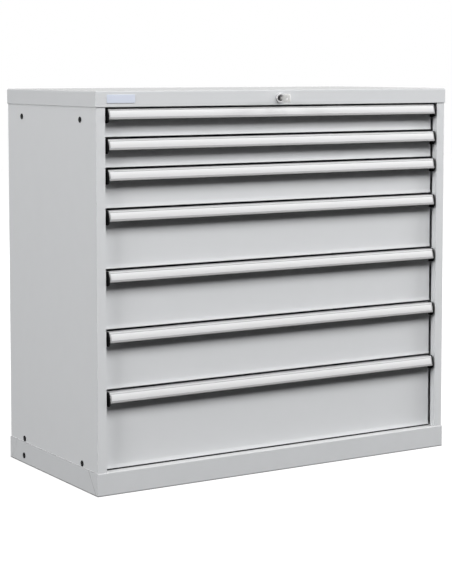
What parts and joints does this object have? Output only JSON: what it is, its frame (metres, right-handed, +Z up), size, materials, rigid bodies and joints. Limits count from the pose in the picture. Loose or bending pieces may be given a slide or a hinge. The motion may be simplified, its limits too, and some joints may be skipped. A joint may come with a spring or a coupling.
{
  "type": "workshop drawer cabinet",
  "caption": "Free-standing sheet steel workshop cabinet on a plinth, full-width drawers of rising depth on roller slides, aluminium grip handles, key lock in the lid's front.",
  "frame": {"origin": "middle of the plinth's footprint on the floor", "axes": "+X to the right along the drawer fronts, +Y from the fronts to the back, +Z up; the drawers open towards -Y"},
  "size_m": [1.0864, 0.561, 1],
  "materials": {
    "paint": "light grey powder coat, fine texture",
    "lid_paint": "light grey powder coat, fine texture",
    "plinth_paint": "light grey powder coat, fine texture",
    "tray_paint": "light grey powder coat, smooth",
    "zinc": "zinc plated sheet",
    "carriage_steel": "zinc plated, rollers turned",
    "steel": "bright drawn steel",
    "aluminium": "satin anodised extrusion",
    "label": "white strip under a clear cover, blank",
    "black_plastic": "moulded, fine grain",
    "lock_chrome": "satin chrome on zinc die casting",
    "key_metal": "nickel plated, stamped",
    "plate": "blank, pale blue-white"
  },
  "bodies": {
    "casing": {"side_panel_left": "paint", "side_panel_right": "paint", "back_panel": "paint", "floor_panel": "paint", "lid": "lid_paint", "plinth_front": "plinth_paint", "plinth_back": "plinth_paint", "plinth_sides": "plinth_paint", "runners_left": "zinc", "runners_right": "zinc", "lock_housing": "lock_chrome", "lock_guides": "zinc", "hole_caps": "black_plastic", "name_plate": "plate"},
    "drawer_1": {"drawer_1_tray": "tray_paint", "drawer_1_front": "paint", "drawer_1_handle": "aluminium", "drawer_1_end_caps": "black_plastic", "drawer_1_label_strip": "label"},
    "drawer_2": {"drawer_2_tray": "tray_paint", "drawer_2_front": "paint", "drawer_2_handle": "aluminium", "drawer_2_end_caps": "black_plastic", "drawer_2_label_strip": "label"},
    "drawer_3": {"drawer_3_tray": "tray_paint", "drawer_3_front": "paint", "drawer_3_handle": "aluminium", "drawer_3_end_caps": "black_plastic", "drawer_3_label_strip": "label"},
    "drawer_4": {"drawer_4_tray": "tray_paint", "drawer_4_front": "paint", "drawer_4_handle": "aluminium", "drawer_4_end_caps": "black_plastic", "drawer_4_label_strip": "label"},
    "drawer_5": {"drawer_5_tray": "tray_paint", "drawer_5_front": "paint", "drawer_5_handle": "aluminium", "drawer_5_end_caps": "black_plastic", "drawer_5_label_strip": "label"},
    "drawer_6": {"drawer_6_tray": "tray_paint", "drawer_6_front": "paint", "drawer_6_handle": "aluminium", "drawer_6_end_caps": "black_plastic", "drawer_6_label_strip": "label"},
    "drawer_7": {"drawer_7_tray": "tray_paint", "drawer_7_front": "paint", "drawer_7_handle": "aluminium", "drawer_7_end_caps": "black_plastic", "drawer_7_label_strip": "label"},
    "carriages_1": {"drawer_1_carriages": "carriage_steel"},
    "carriages_2": {"drawer_2_carriages": "carriage_steel"},
    "carriages_3": {"drawer_3_carriages": "carriage_steel"},
    "carriages_4": {"drawer_4_carriages": "carriage_steel"},
    "carriages_5": {"drawer_5_carriages": "carriage_steel"},
    "carriages_6": {"drawer_6_carriages": "carriage_steel"},
    "carriages_7": {"drawer_7_carriages": "carriage_steel"},
    "lock_barrel": {"lock_barrel": "lock_chrome", "lock_shaft": "steel"},
    "key": {"key": "key_metal"},
    "lock_bar": {"lock_bar": "zinc"}
  },
  "joints": [
    {"name": "drawer_1_slide", "type": "slide", "parent": "casing", "child": "drawer_1", "axis": [0, -1, 0], "range_m": [0, 0.43]},
    {"name": "carriage_1_slide", "type": "slide", "parent": "casing", "child": "carriages_1", "axis": [0, -1, 0], "range_m": [0, 0.215]},
    {"name": "drawer_2_slide", "type": "slide", "parent": "casing", "child": "drawer_2", "axis": [0, -1, 0], "range_m": [0, 0.43]},
    {"name": "carriage_2_slide", "type": "slide", "parent": "casing", "child": "carriages_2", "axis": [0, -1, 0], "range_m": [0, 0.215]},
    {"name": "drawer_3_slide", "type": "slide", "parent": "casing", "child": "drawer_3", "axis": [0, -1, 0], "range_m": [0, 0.43]},
    {"name": "carriage_3_slide", "type": "slide", "parent": "casing", "child": "carriages_3", "axis": [0, -1, 0], "range_m": [0, 0.215]},
    {"name": "drawer_4_slide", "type": "slide", "parent": "casing", "child": "drawer_4", "axis": [0, -1, 0], "range_m": [0, 0.43]},
    {"name": "carriage_4_slide", "type": "slide", "parent": "casing", "child": "carriages_4", "axis": [0, -1, 0], "range_m": [0, 0.215]},
    {"name": "drawer_5_slide", "type": "slide", "parent": "casing", "child": "drawer_5", "axis": [0, -1, 0], "range_m": [0, 0.43]},
    {"name": "carriage_5_slide", "type": "slide", "parent": "casing", "child": "carriages_5", "axis": [0, -1, 0], "range_m": [0, 0.215]},
    {"name": "drawer_6_slide", "type": "slide", "parent": "casing", "child": "drawer_6", "axis": [0, -1, 0], "range_m": [0, 0.43]},
    {"name": "carriage_6_slide", "type": "slide", "parent": "casing", "child": "carriages_6", "axis": [0, -1, 0], "range_m": [0, 0.215]},
    {"name": "drawer_7_slide", "type": "slide", "parent": "casing", "child": "drawer_7", "axis": [0, -1, 0], "range_m": [0, 0.43]},
    {"name": "carriage_7_slide", "type": "slide", "parent": "casing", "child": "carriages_7", "axis": [0, -1, 0], "range_m": [0, 0.215]},
    {"name": "lock_turn", "type": "hinge", "parent": "casing", "child": "lock_barrel", "pos_m": [-0.0066, -0.25, 0.9776], "axis": [0, 1, 0], "range_deg": [0, 90]},
    {"name": "key_pull", "type": "slide", "parent": "lock_barrel", "child": "key", "axis": [0, -1, 0], "range_m": [0, 0.022]},
    {"name": "lock_bar_lift", "type": "slide", "parent": "casing", "child": "lock_bar", "axis": [0, 0, 1], "range_m": [0, 0.011]}
  ],
  "couplings": [
    {"joint": "carriage_1_slide", "follows": "drawer_1_slide", "ratio": 0.5},
    {"joint": "carriage_2_slide", "follows": "drawer_2_slide", "ratio": 0.5},
    {"joint": "carriage_3_slide", "follows": "drawer_3_slide", "ratio": 0.5},
    {"joint": "carriage_4_slide", "follows": "drawer_4_slide", "ratio": 0.5},
    {"joint": "carriage_5_slide", "follows": "drawer_5_slide", "ratio": 0.5},
    {"joint": "carriage_6_slide", "follows": "drawer_6_slide", "ratio": 0.5},
    {"joint": "carriage_7_slide", "follows": "drawer_7_slide", "ratio": 0.5},
    {"joint": "lock_bar_lift", "follows": "lock_turn", "m_per_rad": 0.007}
  ]
}
